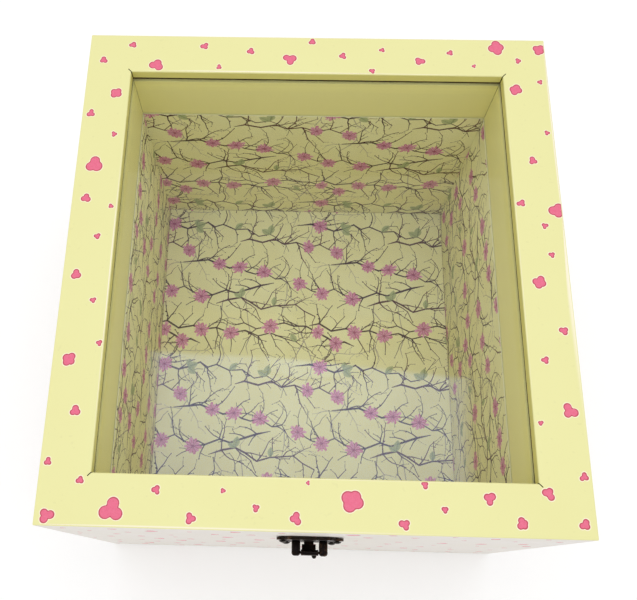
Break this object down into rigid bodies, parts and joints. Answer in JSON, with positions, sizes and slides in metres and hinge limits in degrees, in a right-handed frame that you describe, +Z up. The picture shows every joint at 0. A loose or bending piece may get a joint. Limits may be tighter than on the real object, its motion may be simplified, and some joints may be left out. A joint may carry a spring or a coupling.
{
  "type": "wooden keepsake box with a glass lid",
  "caption": "Painted wooden keepsake box with a paper-lined inside, a hinged lid holding a pane of glass, and a hook latch on the front.",
  "frame": {"origin": "middle of the box's footprint on the table, measured on the wooden box without its hinges and latch", "axes": "+Z up, the front with the latch faces -Y, +X to the right when looking at the front"},
  "size_m": [0.26, 0.2923, 0.185],
  "materials": {
    "painted_wood": "satin pale yellow paint with small pink blots",
    "floor_board": "bare pale board",
    "printed_paper": "matt printed paper with blossoming twigs",
    "clear_glass": "clear, with a faint green tint",
    "antique_bronze": "dark antique bronze, worn brown on the edges",
    "hinge_brass": "dull aged brass",
    "screw_steel": "dark plated steel"
  },
  "bodies": {
    "box": {"body_front": "painted_wood", "body_back": "painted_wood", "body_left": "painted_wood", "body_right": "painted_wood", "floor_panel": "floor_board", "lining_front": "printed_paper", "lining_back": "printed_paper", "lining_left": "printed_paper", "lining_right": "printed_paper", "lining_floor": "printed_paper", "hinge_body_leaf_left": "hinge_brass", "hinge_body_leaf_right": "hinge_brass", "hinge_pin_left": "hinge_brass", "hinge_pin_right": "hinge_brass", "hinge_screw_body_left_1": "screw_steel", "hinge_screw_body_left_2": "screw_steel", "hinge_screw_body_right_1": "screw_steel", "hinge_screw_body_right_2": "screw_steel", "latch_body_plate": "antique_bronze", "latch_screw_body_1": "screw_steel", "latch_screw_body_2": "screw_steel"},
    "lid": {"lid_front": "painted_wood", "lid_back": "painted_wood", "lid_left": "painted_wood", "lid_right": "painted_wood", "glass_pane": "clear_glass", "hinge_lid_leaf_left": "hinge_brass", "hinge_lid_leaf_right": "hinge_brass", "hinge_screw_lid_left_1": "screw_steel", "hinge_screw_lid_left_2": "screw_steel", "hinge_screw_lid_right_1": "screw_steel", "hinge_screw_lid_right_2": "screw_steel", "latch_lid_plate": "antique_bronze", "latch_pin": "antique_bronze", "latch_screw_lid_1": "screw_steel", "latch_screw_lid_2": "screw_steel"},
    "hook": {"latch_hook": "antique_bronze"}
  },
  "joints": [
    {"name": "lid_hinge", "type": "hinge", "parent": "box", "child": "lid", "pos_m": [0, 0.1413, 0.14385], "axis": [-1, 0, 0], "range_deg": [0, 105]},
    {"name": "hook_turn", "type": "hinge", "parent": "lid", "child": "hook", "pos_m": [0, -0.1454, 0.1464], "axis": [-1, 0, 0], "range_deg": [0, 160]}
  ]
}
